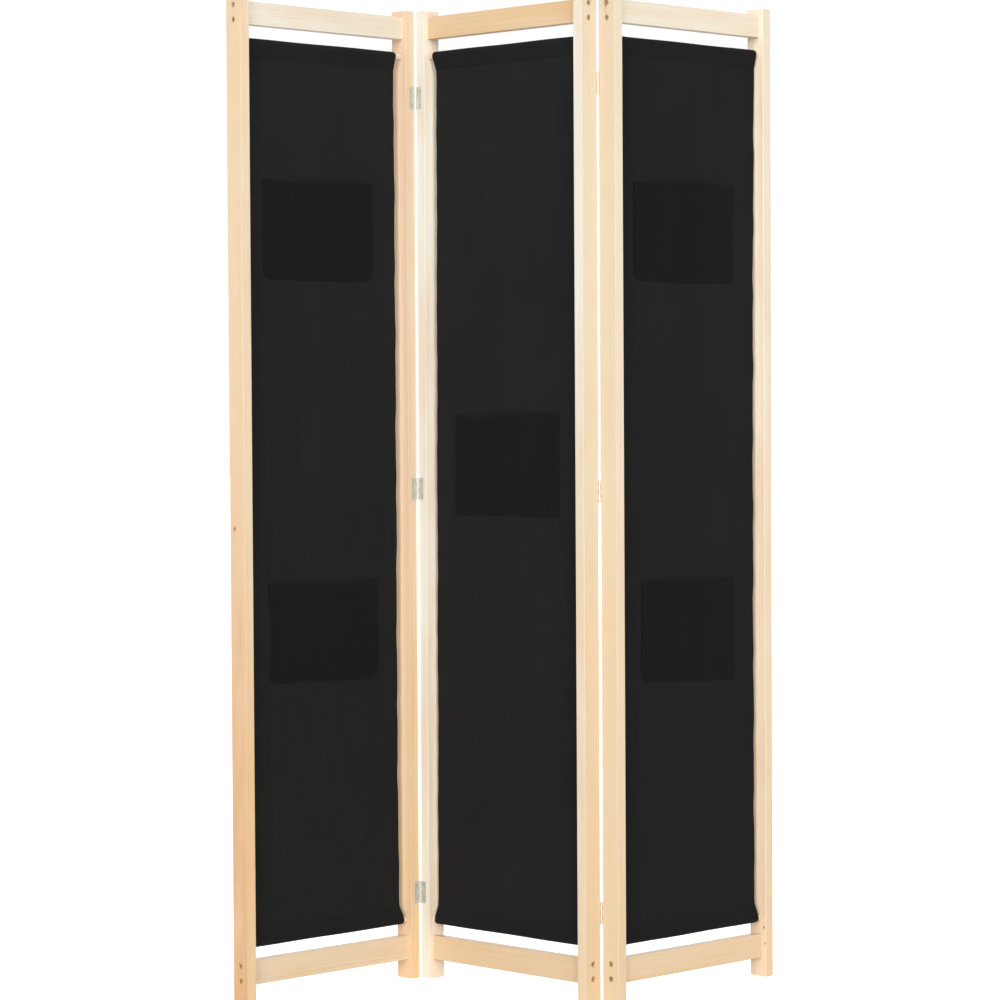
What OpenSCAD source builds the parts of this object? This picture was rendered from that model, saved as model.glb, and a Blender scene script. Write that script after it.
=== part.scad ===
// Folding room divider: three pine frames side by side, each with a black cloth panel
// hung between two wooden rods, and flat cloth pockets sewn to the front of the cloth.
// Neighbouring frames are joined by small butt hinges, on the front at the left fold
// and on the back at the right fold, so the screen stands in a zigzag and folds flat.
//
// X runs along the centre panel, the front faces -Y and Z is up. The origin is on the
// floor, in the middle of the centre panel. All sizes are in millimetres.

/* [Panels] */
// Height of each frame
panel_h = 1700; // [1400:10:1900]
// Width of each frame
panel_w = 400; // [380:1:480]
// Gap between neighbouring frames when the screen is opened out flat
panel_gap = 1.5; // [1:0.5:4]
// Angle between neighbouring panels, 180 when opened out flat
fold = 90; // [20:5:180]

/* [Frame] */
// Width of a stile, across the panel
stile_w = 19.5; // [16:0.5:24]
// Depth of a stile, front to back
stile_d = 36; // [32:1:48]
// Height of a top rail
top_rail_h = 38.5; // [36:0.5:44]
// Height of a bottom rail
bottom_rail_h = 42; // [36:0.5:44]
// Thickness of a rail, front to back
rail_t = 18; // [14:1:24]
// Drop from the top of the stiles to the top rail
top_rail_drop = 10.5; // [0:0.5:14]
// Height of the bottom rail above the floor
bottom_rail_z = 33.5; // [20:0.5:45]
// Rounding of the long edges of the wood
edge_r = 1; // [0.5:0.5:4]

/* [Rods and cloth] */
// Diameter of the rods that hold the cloth
rod_d = 12; // [10:0.5:14]
// How far each end of a rod sits in its stile
rod_insert = 8; // [5:0.5:10]
// Distance from the top of the stiles down to the top rod's centre
top_rod_drop = 78; // [70:0.5:120]
// Height of the bottom rod's centre above the floor
bottom_rod_z = 103; // [100:0.5:160]
// Gap between the cloth and each stile, between the rods
cloth_gap = 10; // [8:0.5:18]
// Gap between the cloth and each stile, at the rods
cloth_rod_gap = 7; // [2:0.5:14]
// Thickness of the cloth
cloth_t = 1.2; // [0.8:0.1:2]
// Height of the rod sleeve, from the rod's centre to its seam
sleeve_h = 26; // [18:1:40]

/* [Pockets] */
// Width of a pocket
pocket_w = 252; // [180:2:264]
// Height of a pocket
pocket_h = 170; // [120:2:220]
// How far a pocket stands off the cloth
pocket_d = 8; // [6:0.5:9]
// Radius of a pocket's lower corners
pocket_r = 15; // [6:1:30]
// Bottom of the upper pockets
upper_pocket_z = 1223; // [1150:1:1300]
// Bottom of the centre panel's pocket
centre_pocket_z = 820; // [700:2:900]
// Bottom of the lower pockets
lower_pocket_z = 536; // [350:2:600]

/* [Hinges] */
// Height of a hinge
hinge_h = 38; // [30:1:50]
// Width of a hinge leaf on the wood
leaf_w = 11.5; // [10:0.5:14]
// Thickness of a hinge leaf
leaf_t = 1.1; // [0.8:0.1:1.2]
// Diameter of a hinge pin
pin_d = 1.9; // [1.6:0.1:2.1]
// Height of a pin's middle above the faces that its leaves lie on
pin_height = 2; // [1.9:0.1:2.6]
// Height of the bottom hinge's middle
bottom_hinge_z = 152; // [130:1:250]
// Height of the middle hinge's middle
middle_hinge_z = 864; // [780:1:900]
// Drop from the top of the stiles to the top hinge's middle
top_hinge_drop = 151; // [120:1:250]

/* [Screws] */
// Length of a frame screw
frame_screw_l = 45; // [40:1:60]
// Distance between the two frame screws in a rail's end
frame_screw_pitch = 25; // [16:1:28]
// Length of a hinge screw
hinge_screw_l = 13; // [8:1:16]

/* [Hidden] */
$fn = 48;
skin = 0.01;                                // overshoot of a cut past a face
pin_x = panel_gap / 2;                      // pin's distance from the stile's edge
opening_w = panel_w - 2 * stile_w;
cloth_w = opening_w - 2 * cloth_gap;
cloth_rod_w = opening_w - 2 * cloth_rod_gap;
top_rail_z = panel_h - top_rail_drop - top_rail_h;
top_rod_z = panel_h - top_rod_drop;

rod_hole_d = rod_d + 0.2;                   // blind socket, an easy fit on the rod
rod_hole_l = rod_insert + 0.5;
sleeve_r = rod_d / 2 + 0.1 + cloth_t;       // outside of the cloth round a rod
flare_h = 20;                               // height over which the cloth widens to a sleeve
seam = 1;                                   // the sheet's overlap with a sleeve
cloth_front = -cloth_t / 2;                 // front face of the cloth

frame_screw_d = 4.5;
frame_head_d = 9.6;
frame_head_h = 3.4;
counterbore_d = 10.2;
counterbore_l = 1.5;

hinge_screw_d = 2.2;
hinge_head_d = 4.6;
hinge_head_h = 1.4;
hinge_screw_x = 6.6;                        // from the stile's edge
hinge_screw_pitch = 24;
leaf_corner_r = 2;

knuckles = 5;
knuckle_d = 2 * pin_height - 0.2;
knuckle_gap = 0.2;                          // end play between two knuckles
leaf_start = knuckle_d / 2 + 0.15;          // plate's edge, clear of the other leaf's knuckles
knuckle_h = hinge_h / knuckles;
running_play = 0.05;                        // radial, pin in the moving leaf
pin_press = 0.01;                           // radial, pin in the fixed leaf

HINGE_Z = [bottom_hinge_z, middle_hinge_z, panel_h - top_hinge_drop];
HINGES = ["bottom", "middle", "top"];
RAILS = [[top_rail_z, top_rail_h], [bottom_rail_z, bottom_rail_h]];     // bottom and height
SIDES = ["left", "right"];
PANELS = ["left", "centre", "right"];

// Each pocket: its panel, its place on the panel, sideways from the panel's middle, bottom
POCKETS = [
    ["left", "upper", -12, upper_pocket_z],
    ["left", "lower", -5, lower_pocket_z],
    ["centre", "middle", 1, centre_pocket_z],
    ["right", "upper", -7, upper_pocket_z - 4],
    ["right", "lower", 3, lower_pocket_z - 2]
];

// ---- Placing ----

// The pin line of the left fold; the right fold is the same, turned half way round.
module at_pin(side) {
    rotate([0, 0, side == "right" ? 180 : 0])
        translate([-panel_w / 2 - pin_x, -stile_d / 2 - pin_height, 0])
            children();
}

// Turns a moving leaf or panel from flat to the angle of the fold.
module folded() {
    rotate([0, 0, 180 - fold])
        children();
}

// Moves a panel from its own frame, with its middle at X = 0, to its place.
module in_panel(panel) {
    if (panel == "centre")
        children();
    else
        at_pin(panel)
            folded()
                translate([-panel_w / 2 - pin_x, stile_d / 2 + pin_height, 0])
                    rotate([0, 0, panel == "right" ? 180 : 0])
                        children();
}

// Puts a shape made for the left side of a panel on the side that is asked for.
module on_side(side) {
    mirror([side == "right" ? 1 : 0, 0, 0])
        translate([-panel_w / 2, 0, 0])
            children();
}

// The two screw lines of each rail, seen from the panel's left edge.
module at_frame_screws() {
    for (r = RAILS, step = [-1, 1])
        translate([0, 0, r[0] + r[1] / 2 + step * frame_screw_pitch / 2])
            rotate([0, 90, 0])
                children();
}

// The hinge screw lines of one stile, into the face that the hinge lies on.
module at_hinge_screws() {
    for (z = HINGE_Z, step = [-1, 1])
        translate([hinge_screw_x, -stile_d / 2, z + step * hinge_screw_pitch / 2])
            rotate([-90, 0, 0])
                children();
}

// ---- Frame ----

// Says which face of a stile a hinge lies on: 1 front, -1 back, 0 none.
function hinge_face(panel, side) =
    panel == "left" ? (side == "right" ? 1 : 0) :
    panel == "right" ? (side == "left" ? -1 : 0) :
    side == "left" ? 1 : -1;

// A rectangle from the origin with round corners.
module rounded_rectangle(w, h, r) {
    translate([r, 0])
        square([w - 2 * r, h]);
    translate([0, r])
        square([w, h - 2 * r]);
    for (x = [r, w - r], y = [r, h - r])
        translate([x, y])
            circle(r = r);
}

// An upright bar with all its edges eased: the long ones by edge_r, those at its ends less.
module eased_post(w, d, h) {
    end_r = edge_r / 2;
    intersection() {
        linear_extrude(h)
            rounded_rectangle(w, d, edge_r);
        translate([0, d, 0])
            rotate([90, 0, 0])
                linear_extrude(d)
                    rounded_rectangle(w, h, end_r);
        rotate([90, 0, 90])
            linear_extrude(w)
                rounded_rectangle(d, h, end_r);
    }
}

module stile(panel, side) {
    face = hinge_face(panel, side);
    color("burlywood")
        on_side(side)
            difference() {
                translate([0, -stile_d / 2, 0])
                    eased_post(stile_w, stile_d, panel_h);
                for (z = [bottom_rod_z, top_rod_z])
                    translate([stile_w - rod_hole_l, 0, z])
                        rotate([0, 90, 0])
                            cylinder(d = rod_hole_d, h = rod_hole_l + skin);
                at_frame_screws() {
                    translate([0, 0, -skin])
                        cylinder(d = counterbore_d, h = counterbore_l + skin);
                    translate([0, 0, counterbore_l])
                        cylinder(d1 = frame_head_d, d2 = frame_screw_d, h = frame_head_h);
                    cylinder(d = frame_screw_d + 0.3, h = stile_w + skin);
                }
                if (face != 0)
                    mirror([0, face == -1 ? 1 : 0, 0])
                        at_hinge_screws()
                            translate([0, 0, -skin])
                                cylinder(d = hinge_screw_d - 0.5, h = hinge_screw_l, $fn = 24);
            }
}

module rail(z, h) {
    color("burlywood")
        difference() {
            translate([-opening_w / 2, -rail_t / 2, z])
                rotate([90, 0, 90])
                    linear_extrude(opening_w)
                        rounded_rectangle(rail_t, h, edge_r);
            for (side = SIDES)
                on_side(side)
                    at_frame_screws()
                        cylinder(d = frame_screw_d - 0.8, h = counterbore_l + frame_screw_l);
        }
}

// A countersunk wood screw along +Z, with the top of its head at Z = 0 and a cross slot.
module wood_screw(l, d, head_d, head_h) {
    tip_h = 1.6 * d;
    slot_w = head_d / 6;
    difference() {
        union() {
            cylinder(d1 = head_d, d2 = d, h = head_h);
            cylinder(d = d, h = l - tip_h);
            translate([0, 0, l - tip_h])
                cylinder(d1 = d, d2 = 0.3, h = tip_h);
        }
        for (turn = [0, 90])
            rotate([0, 0, turn])
                translate([-0.3 * head_d, -slot_w / 2, -skin])
                    cube([0.6 * head_d, slot_w, 0.55 * head_h]);
    }
}

module frame_screws() {
    color("#8a6b3d")
        for (side = SIDES)
            on_side(side)
                at_frame_screws()
                    translate([0, 0, counterbore_l])
                        wood_screw(frame_screw_l, frame_screw_d, frame_head_d, frame_head_h);
}

// ---- Rods, cloth and pockets ----

module rod(z) {
    color("wheat")
        translate([-opening_w / 2 - rod_insert, 0, z])
            rotate([0, 90, 0])
                cylinder(d = rod_d, h = opening_w + 2 * rod_insert);
}

// Section of the cloth round a rod at the origin, closing to one layer below it.
module sleeve_section() {
    lean = acos(sleeve_r / sleeve_h);
    difference() {
        union() {
            circle(r = sleeve_r);
            polygon([
                [-cloth_t / 2, -sleeve_h],
                [cloth_t / 2, -sleeve_h],
                [sleeve_r * sin(lean), -sleeve_r * cos(lean)],
                [-sleeve_r * sin(lean), -sleeve_r * cos(lean)]
            ]);
        }
        circle(r = sleeve_r - cloth_t);
    }
}

module fabric() {
    low = bottom_rod_z + sleeve_h - seam;
    high = top_rod_z - sleeve_h + seam;
    right_edge = [
        [cloth_rod_w / 2, high],
        [cloth_w / 2, high - flare_h],
        [cloth_w / 2, low + flare_h],
        [cloth_rod_w / 2, low]
    ];
    color("#242424") {
        for (z = [bottom_rod_z, top_rod_z])
            translate([-cloth_rod_w / 2, 0, z])
                rotate([90, 0, 90])
                    linear_extrude(cloth_rod_w)
                        mirror([0, z == bottom_rod_z ? 1 : 0])
                            sleeve_section();
        translate([0, cloth_t / 2, 0])
            rotate([90, 0, 0])
                linear_extrude(cloth_t)
                    polygon(concat(right_edge, [for (i = [3 : -1 : 0]) [-right_edge[i].x, right_edge[i].y]]));
    }
}

// A pocket's front outline: square above, round at the lower corners.
module pocket_outline(w, h, r) {
    translate([-w / 2, r])
        square([w, h - r]);
    translate([r - w / 2, 0])
        square([w - 2 * r, h]);
    for (side = [-1, 1])
        translate([side * (w / 2 - r), r])
            circle(r = r);
}

module pocket(x, z) {
    color("#1c1c1c")
        translate([x, cloth_front, z])
            rotate([90, 0, 0])
                difference() {
                    linear_extrude(pocket_d)
                        pocket_outline(pocket_w, pocket_h, pocket_r);
                    translate([0, cloth_t, -skin])
                        linear_extrude(pocket_d - cloth_t + skin)
                            pocket_outline(pocket_w - 2 * cloth_t, pocket_h, pocket_r - cloth_t);
                }
}

// ---- Hinges ----

// A leaf's plate from its pin line, square at the pin side and round at the far corners.
module leaf_outline() {
    plate_w = pin_x + leaf_w - leaf_start;
    translate([leaf_start, 0]) {
        square([plate_w / 2, hinge_h]);
        rounded_rectangle(plate_w, hinge_h, leaf_corner_r);
    }
}

// One leaf, with its pin line on the Z axis and its plate along +X, on a face at Y = pin_height.
// The fixed leaf has the outer and middle knuckles and the moving leaf has those between.
module leaf(fixed) {
    first = fixed ? 0 : 1;
    bore_r = pin_d / 2 + (fixed ? -pin_press : running_play);
    color("silver")
        difference() {
            union() {
                translate([0, pin_height, 0])
                    rotate([90, 0, 0])
                        linear_extrude(leaf_t)
                            leaf_outline();
                for (k = [first : 2 : knuckles - 1])
                    translate([0, 0, k * knuckle_h + knuckle_gap / 2]) {
                        cylinder(d = knuckle_d, h = knuckle_h - knuckle_gap);
                        translate([0, pin_height - leaf_t, 0])
                            cube([leaf_start + leaf_t, leaf_t - 0.1, knuckle_h - knuckle_gap]);
                    }
            }
            translate([0, 0, -skin])
                cylinder(r = bore_r, h = hinge_h + 2 * skin);
            for (step = [-1, 1])
                translate([pin_x + hinge_screw_x, pin_height, (hinge_h + step * hinge_screw_pitch) / 2])
                    rotate([90, 0, 0]) {
                        translate([0, 0, -skin])
                            cylinder(d = hinge_screw_d + 0.3, h = leaf_t + 2 * skin);
                        translate([0, 0, leaf_t - hinge_head_h])
                            cylinder(d1 = hinge_screw_d, d2 = hinge_head_d + 0.1, h = hinge_head_h + skin);
                    }
        }
}

module hinge_pin() {
    cap_h = 0.8;
    color("silver") {
        cylinder(d = pin_d, h = hinge_h);
        for (z = [-cap_h, hinge_h])
            translate([0, 0, z])
                cylinder(d = pin_d + 1, h = cap_h);
    }
}

module at_hinge(side, which) {
    at_pin(side)
        translate([0, 0, HINGE_Z[which] - hinge_h / 2])
            children();
}

// The screws that hold one fold's leaves to one panel.
module hinge_screws() {
    color("silver")
        for (z = HINGE_Z, step = [-1, 1])
            translate([pin_x + hinge_screw_x, pin_height - leaf_t, z + step * hinge_screw_pitch / 2])
                rotate([-90, 0, 0])
                    wood_screw(hinge_screw_l, hinge_screw_d, hinge_head_d, hinge_head_h);
}

// ---- Nodes ----

for (panel = PANELS) {
    for (side = SIDES)
        in_panel(panel) stile(panel, side);
    in_panel(panel) rail(top_rail_z, top_rail_h);
    in_panel(panel) rail(bottom_rail_z, bottom_rail_h);
    in_panel(panel) rod(top_rod_z);
    in_panel(panel) rod(bottom_rod_z);
    in_panel(panel) fabric();
    in_panel(panel) frame_screws();
}

for (p = POCKETS)
    in_panel(p[0]) pocket(p[2], p[3]);

for (side = SIDES) {
    for (which = [0 : len(HINGES) - 1]) {
        name = str(side, "_fold_", HINGES[which]);
        at_hinge(side, which) leaf(true);
        at_hinge(side, which) folded() mirror([1, 0, 0]) leaf(false);
        at_hinge(side, which) hinge_pin();
    }
    at_pin(side) hinge_screws();
    at_pin(side) folded() mirror([1, 0, 0]) hinge_screws();
}
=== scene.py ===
"""The looks of a folding room divider: three pine frames with black cloth panels and pockets.

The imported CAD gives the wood, rods, hinges and screws, and this script gives them their materials.
The cloth is built here: sleeves round the rods, hems, folds, stitches and pockets.
Lengths in the shape sections are in millimetres, and the meshes are in metres.
"""

import math
import random

import bpy
import numpy as np
from mathutils import Matrix, Vector


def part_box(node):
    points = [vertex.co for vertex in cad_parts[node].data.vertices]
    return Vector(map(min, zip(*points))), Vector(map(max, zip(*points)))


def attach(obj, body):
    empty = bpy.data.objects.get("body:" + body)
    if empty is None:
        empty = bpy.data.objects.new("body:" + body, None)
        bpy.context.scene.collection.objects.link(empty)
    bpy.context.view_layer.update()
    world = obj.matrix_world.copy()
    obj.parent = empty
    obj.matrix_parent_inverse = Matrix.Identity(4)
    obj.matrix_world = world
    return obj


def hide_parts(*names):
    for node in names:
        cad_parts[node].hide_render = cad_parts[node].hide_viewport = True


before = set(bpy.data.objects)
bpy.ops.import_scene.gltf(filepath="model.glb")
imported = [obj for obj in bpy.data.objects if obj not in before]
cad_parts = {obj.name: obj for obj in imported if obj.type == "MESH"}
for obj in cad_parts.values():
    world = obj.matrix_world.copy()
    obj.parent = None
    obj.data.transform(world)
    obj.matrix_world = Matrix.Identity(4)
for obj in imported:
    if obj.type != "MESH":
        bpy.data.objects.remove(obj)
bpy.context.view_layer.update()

MM = 0.001
PANELS = ("left", "centre", "right")
FOLDS = ("left_fold", "right_fold")
PLACES = ("top", "middle", "bottom")


# ---- Places in the CAD model ----


def middle(node):
    low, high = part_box(node)
    return (low + high) / 2


def panel_frame(panel):
    """The panel's own frame: X across from its left stile, Y to its back, Z up, on the floor."""
    left, right = middle(f"{panel}_left_stile"), middle(f"{panel}_right_stile")
    origin = (left + right) / 2
    origin.z = 0
    across = (right - left).normalized()
    up = Vector((0, 0, 1))
    turn = Matrix((across, up.cross(across), up)).transposed().to_4x4()
    return Matrix.Translation(origin) @ turn


PANEL_FRAMES = {panel: panel_frame(panel) for panel in PANELS}


def own_box(panel, node):
    """A CAD node's low and high corners in its panel's own frame, in millimetres."""
    back = PANEL_FRAMES[panel].inverted()
    corners = np.array([list(back @ corner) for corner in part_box(node)]) / MM
    return corners.min(0), corners.max(0)


def add_object(name, data):
    thing = bpy.data.objects.new(name, data)
    bpy.context.scene.collection.objects.link(thing)
    return thing


# ---- Camera, light and floor ----

CAMERA_PLACE = (4.0852, -4.1017, 1.0194)
CAMERA_TURN = math.radians(45)
CAMERA_DROP = math.radians(1.704)
CAMERA_ROLL = math.radians(-0.319)
LENS = 121.11

ROOM_LIGHT = 0.27
FLOOR_GLOW = 0.65
FLOOR_HALF = 30       # half the length of its side, in metres
# Each light: name, strength, the azimuth and elevation that it comes from, and its width, in
# degrees. Azimuth 0 is in front of the centre panel and 90 is past its right end.
LIGHTS = [
    ("front_left", 1.62, 20, 15, 30),
    ("front_right", 1.55, 70, 15, 30),
    ("behind", 1.6, 225, 15, 50),
    ("left_side", 0.35, 302, 12, 40),
    ("right_side", 0.4, 148, 12, 40),
    ("overhead", 0.5, 0, 90, 60),
]


def make_camera():
    data = bpy.data.cameras.new("camera")
    data.lens = LENS
    data.sensor_width = 36
    camera = add_object("camera", data)
    turn = Matrix.Rotation(CAMERA_TURN, 4, "Z")
    tilt = Matrix.Rotation(math.pi / 2 - CAMERA_DROP, 4, "X")
    roll = Matrix.Rotation(CAMERA_ROLL, 4, "Z")
    camera.matrix_world = Matrix.Translation(CAMERA_PLACE) @ turn @ tilt @ roll
    bpy.context.scene.camera = camera


def make_lights():
    """An even white room, with wide soft lights in front, behind and at the sides, one above."""
    world = bpy.data.worlds.new("studio")
    bpy.context.scene.world = world
    world.use_nodes = True
    tree = world.node_tree
    room = tree.nodes["Background"]
    room.inputs["Color"].default_value = (1, 1, 1, 1)
    room.inputs["Strength"].default_value = ROOM_LIGHT
    backdrop = tree.nodes.new("ShaderNodeBackground")
    backdrop.inputs["Color"].default_value = (1, 1, 1, 1)
    choose = tree.nodes.new("ShaderNodeMixShader")
    ray = tree.nodes.new("ShaderNodeLightPath")
    tree.links.new(ray.outputs["Is Camera Ray"], choose.inputs["Fac"])
    tree.links.new(room.outputs["Background"], choose.inputs[1])
    tree.links.new(backdrop.outputs["Background"], choose.inputs[2])
    tree.links.new(choose.outputs["Shader"], tree.nodes["World Output"].inputs["Surface"])

    for name, energy, azimuth, elevation, angle in LIGHTS:
        data = bpy.data.lights.new(name, "SUN")
        data.energy = energy
        data.angle = math.radians(angle)
        light = add_object(name, data)
        light.rotation_euler = (math.radians(90 - elevation), 0, math.radians(azimuth))


def make_floor():
    square = [(-1, -1), (1, -1), (1, 1), (-1, 1)]
    corners = [(x * FLOOR_HALF, y * FLOOR_HALF, 0) for x, y in square]
    mesh = bpy.data.meshes.new("floor")
    mesh.from_pydata(corners, [], [(0, 1, 2, 3)])
    floor = add_object("floor", mesh)
    material = bpy.data.materials.new("pale_floor")
    material.use_nodes = True
    surface = material.node_tree.nodes["Principled BSDF"]
    surface.inputs["Base Color"].default_value = (0.92, 0.92, 0.92, 1)
    surface.inputs["Roughness"].default_value = 0.9
    # Whitened where it is seen, as paper under a light table is, without lighting the object.
    tree = material.node_tree
    ray = tree.nodes.new("ShaderNodeLightPath")
    glow = tree.nodes.new("ShaderNodeMath")
    glow.operation = "MULTIPLY"
    glow.inputs[1].default_value = FLOOR_GLOW
    tree.links.new(ray.outputs["Is Camera Ray"], glow.inputs[0])
    tree.links.new(glow.outputs["Value"], surface.inputs["Emission Strength"])
    surface.inputs["Emission Color"].default_value = (1, 1, 1, 1)
    mesh.materials.append(material)


# ---- Materials ----


def srgb(red, green, blue, light):
    """A linear colour from screen values, divided by how brightly the studio lights it."""

    def linear(value):
        share = value / 255
        return share / 12.92 if share <= 0.04045 else ((share + 0.055) / 1.055) ** 2.4

    return tuple(linear(value) / light for value in (red, green, blue)) + (1,)


def grey(value):
    return (value, value, value, 1)


class Shader:
    """A material being built: each call adds a node and gives its output."""

    def __init__(self, name):
        self.material = bpy.data.materials.new(name)
        self.material.use_nodes = True
        self.tree = self.material.node_tree
        self.tree.nodes.clear()

    def add(self, kind, inputs, output=0, **settings):
        node = self.tree.nodes.new("ShaderNode" + kind)
        for name, value in settings.items():
            setattr(node, name, value)
        for name, value in inputs.items():
            if isinstance(value, bpy.types.NodeSocket):
                self.tree.links.new(value, node.inputs[name])
            else:
                node.inputs[name].default_value = value
        return node.outputs[output] if node.outputs else None

    def place(self):
        return self.add("TexCoord", {}, "Object")

    def math(self, operation, *values):
        return self.add("Math", dict(enumerate(values)), operation=operation)

    def vector(self, operation, a, b):
        return self.add("VectorMath", {0: a, 1: b}, operation=operation)

    def length(self, vector):
        return self.add("VectorMath", {0: vector}, "Value", operation="LENGTH")

    def axis(self, vector, name):
        return self.add("SeparateXYZ", {"Vector": vector}, name)

    def mix(self, share, a, b, blend="MIX", clamp=True):
        """From a to b by a share from 0 to 1, or past them if it isn't clamped."""
        settings = {"data_type": "RGBA", "blend_type": blend, "clamp_factor": clamp}
        return self.add("Mix", {0: share, 6: a, 7: b}, 2, **settings)

    def rise(self, value, start, end, low=0.0, high=1.0):
        inputs = {"Value": value, "From Min": start, "From Max": end}
        inputs.update({"To Min": low, "To Max": high})
        return self.add("MapRange", inputs, interpolation_type="SMOOTHSTEP")

    def noise(self, vector, scale, detail=2.0, output="Fac"):
        return self.add("TexNoise", {"Vector": vector, "Scale": scale, "Detail": detail}, output)

    def bump(self, height, strength, distance):
        return self.add("Bump", {"Height": height, "Strength": strength, "Distance": distance})

    def finish(self, **inputs):
        """Adds the surface; an input's name has _ for each space."""
        named = {name.replace("_", " "): value for name, value in inputs.items()}
        surface = self.add("BsdfPrincipled", named)
        self.add("OutputMaterial", {"Surface": surface})
        return self.material


# How brightly the studio lights an upright face, so that srgb() gives what a picture shows.
STUDIO = 1.10
CREAM = srgb(241, 231, 211, STUDIO)
HONEY = srgb(234, 200, 155, STUDIO)
PEACH = srgb(237, 206, 179, STUDIO)
KNOT = srgb(176, 112, 72, STUDIO)
KNOT_RIM_AND_HOLE_SHADE = srgb(120, 70, 42, STUDIO)
RESIN = srgb(172, 118, 74, STUDIO)
RING = 3.4 * MM       # between growth rings

# The rotation that turns each grain direction to Z.
GRAIN_TURN = {
    "x": (0, math.radians(-90), 0),
    "y": (math.radians(90), 0, 0),
    "z": (0, 0, 0),
}
# Heights between which a piece's tone goes from the one for its foot to the one for its top;
# the paler tops are partly the wood's own tone and partly painted light, for the stronger light
# there.
TONE_AND_LIGHT_HEIGHTS = (0.1, 1.25)
LATE_WOOD = (0.80, 0.62, 0.42, 1)
FIBRE_SHADE = (0.965, 0.945, 0.92, 1)
# A knot's width over its length along the grain, and the distance between its own rings.
KNOT_SHAPE = 0.62
KNOT_RING = 0.9 * MM
# The dark rim round a rod's hole, partly torn fibres and partly painted shade of the gap round the
# rod: where it starts, is full, begins to fade and ends, from its middle.
HOLE_RIM_AND_SHADE = (5.8 * MM, 6.2 * MM, 7.0 * MM, 7.6 * MM)


def in_metres(x, y, z):
    return (x * MM, y * MM, z * MM)


def growth_rings(s, own, bent, pith, knots):
    """How far each place is into dark late wood, in rings about the pith that bend round knots.

    Also gives each knot's distance and radius, in metres.
    """
    rings = s.vector("SUBTRACT", bent, in_metres(*pith, 0))
    rings = s.length(s.vector("MULTIPLY", rings, (1, 1, 0)))
    spots = []
    for x, y, z, radius in knots:
        from_knot = s.vector("SUBTRACT", own, in_metres(x, y, z))
        away = s.length(s.vector("MULTIPLY", from_knot, (1, 1, KNOT_SHAPE)))
        bend = s.rise(away, 0, 4 * radius * MM, 1.1 * radius * MM, 0.0)
        rings = s.math("ADD", rings, bend)
        spots.append((away, radius * MM))

    phase = s.math("DIVIDE", rings, RING)
    year = s.math("FRACT", phase)
    late = s.math("MULTIPLY", s.rise(year, 0.25, 0.86), s.rise(year, 1.0, 0.9))
    ring_seed = {"W": s.math("FLOOR", phase)}
    strength = s.add("TexWhiteNoise", ring_seed, "Value", noise_dimensions="1D")
    return s.math("MULTIPLY", late, s.math("MULTIPLY_ADD", strength, 0.65, 0.35)), spots


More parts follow.
